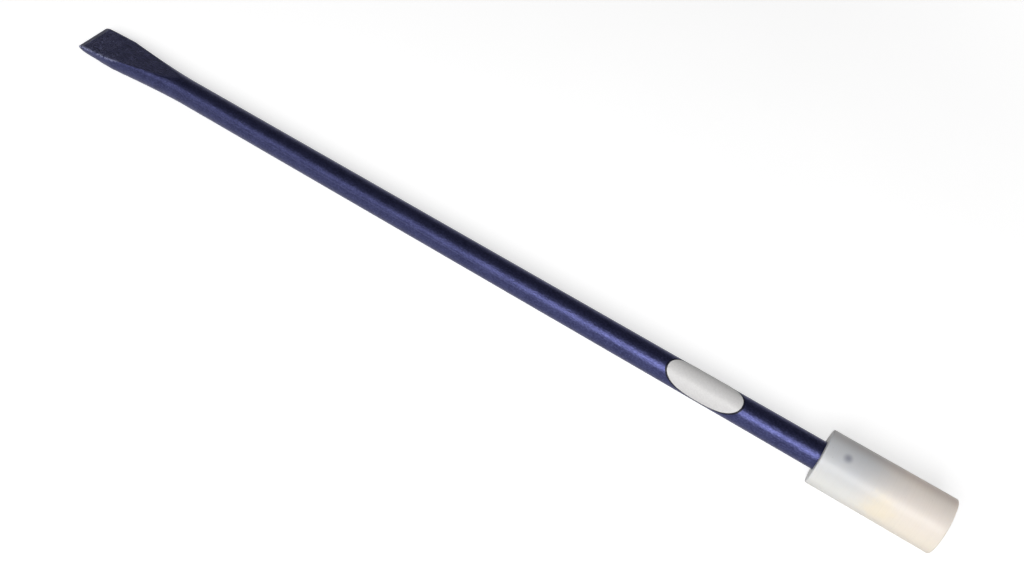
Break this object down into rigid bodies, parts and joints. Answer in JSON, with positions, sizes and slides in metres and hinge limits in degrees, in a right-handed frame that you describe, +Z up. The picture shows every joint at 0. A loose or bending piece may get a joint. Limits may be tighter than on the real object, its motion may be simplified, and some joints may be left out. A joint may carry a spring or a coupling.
{
  "type": "garden dibber",
  "caption": "Long round steel bar forged to a flat planting blade at one end, with a nylon tamping cap pinned on the other end.",
  "frame": {"origin": "middle of the tool's box on the ground it rests on", "axes": "+X along the bar from the blade to the cap, one degree upwards because the cap is thicker than the bar; +Z up, with the blade's faces up and down"},
  "size_m": [0.9002, 0.0484, 0.0501],
  "materials": {
    "lacquered_steel": "dark navy satin lacquer over forged steel",
    "natural_nylon": "turned natural nylon, slightly translucent",
    "spring_steel": "dark oiled spring steel",
    "blank_label": "blank off-white vinyl film, satin"
  },
  "bodies": {
    "root": {"bar_with_blade": "lacquered_steel", "tamping_cap": "natural_nylon", "spring_pin": "spring_steel", "shaft_label": "blank_label"}
  },
  "joints": []
}
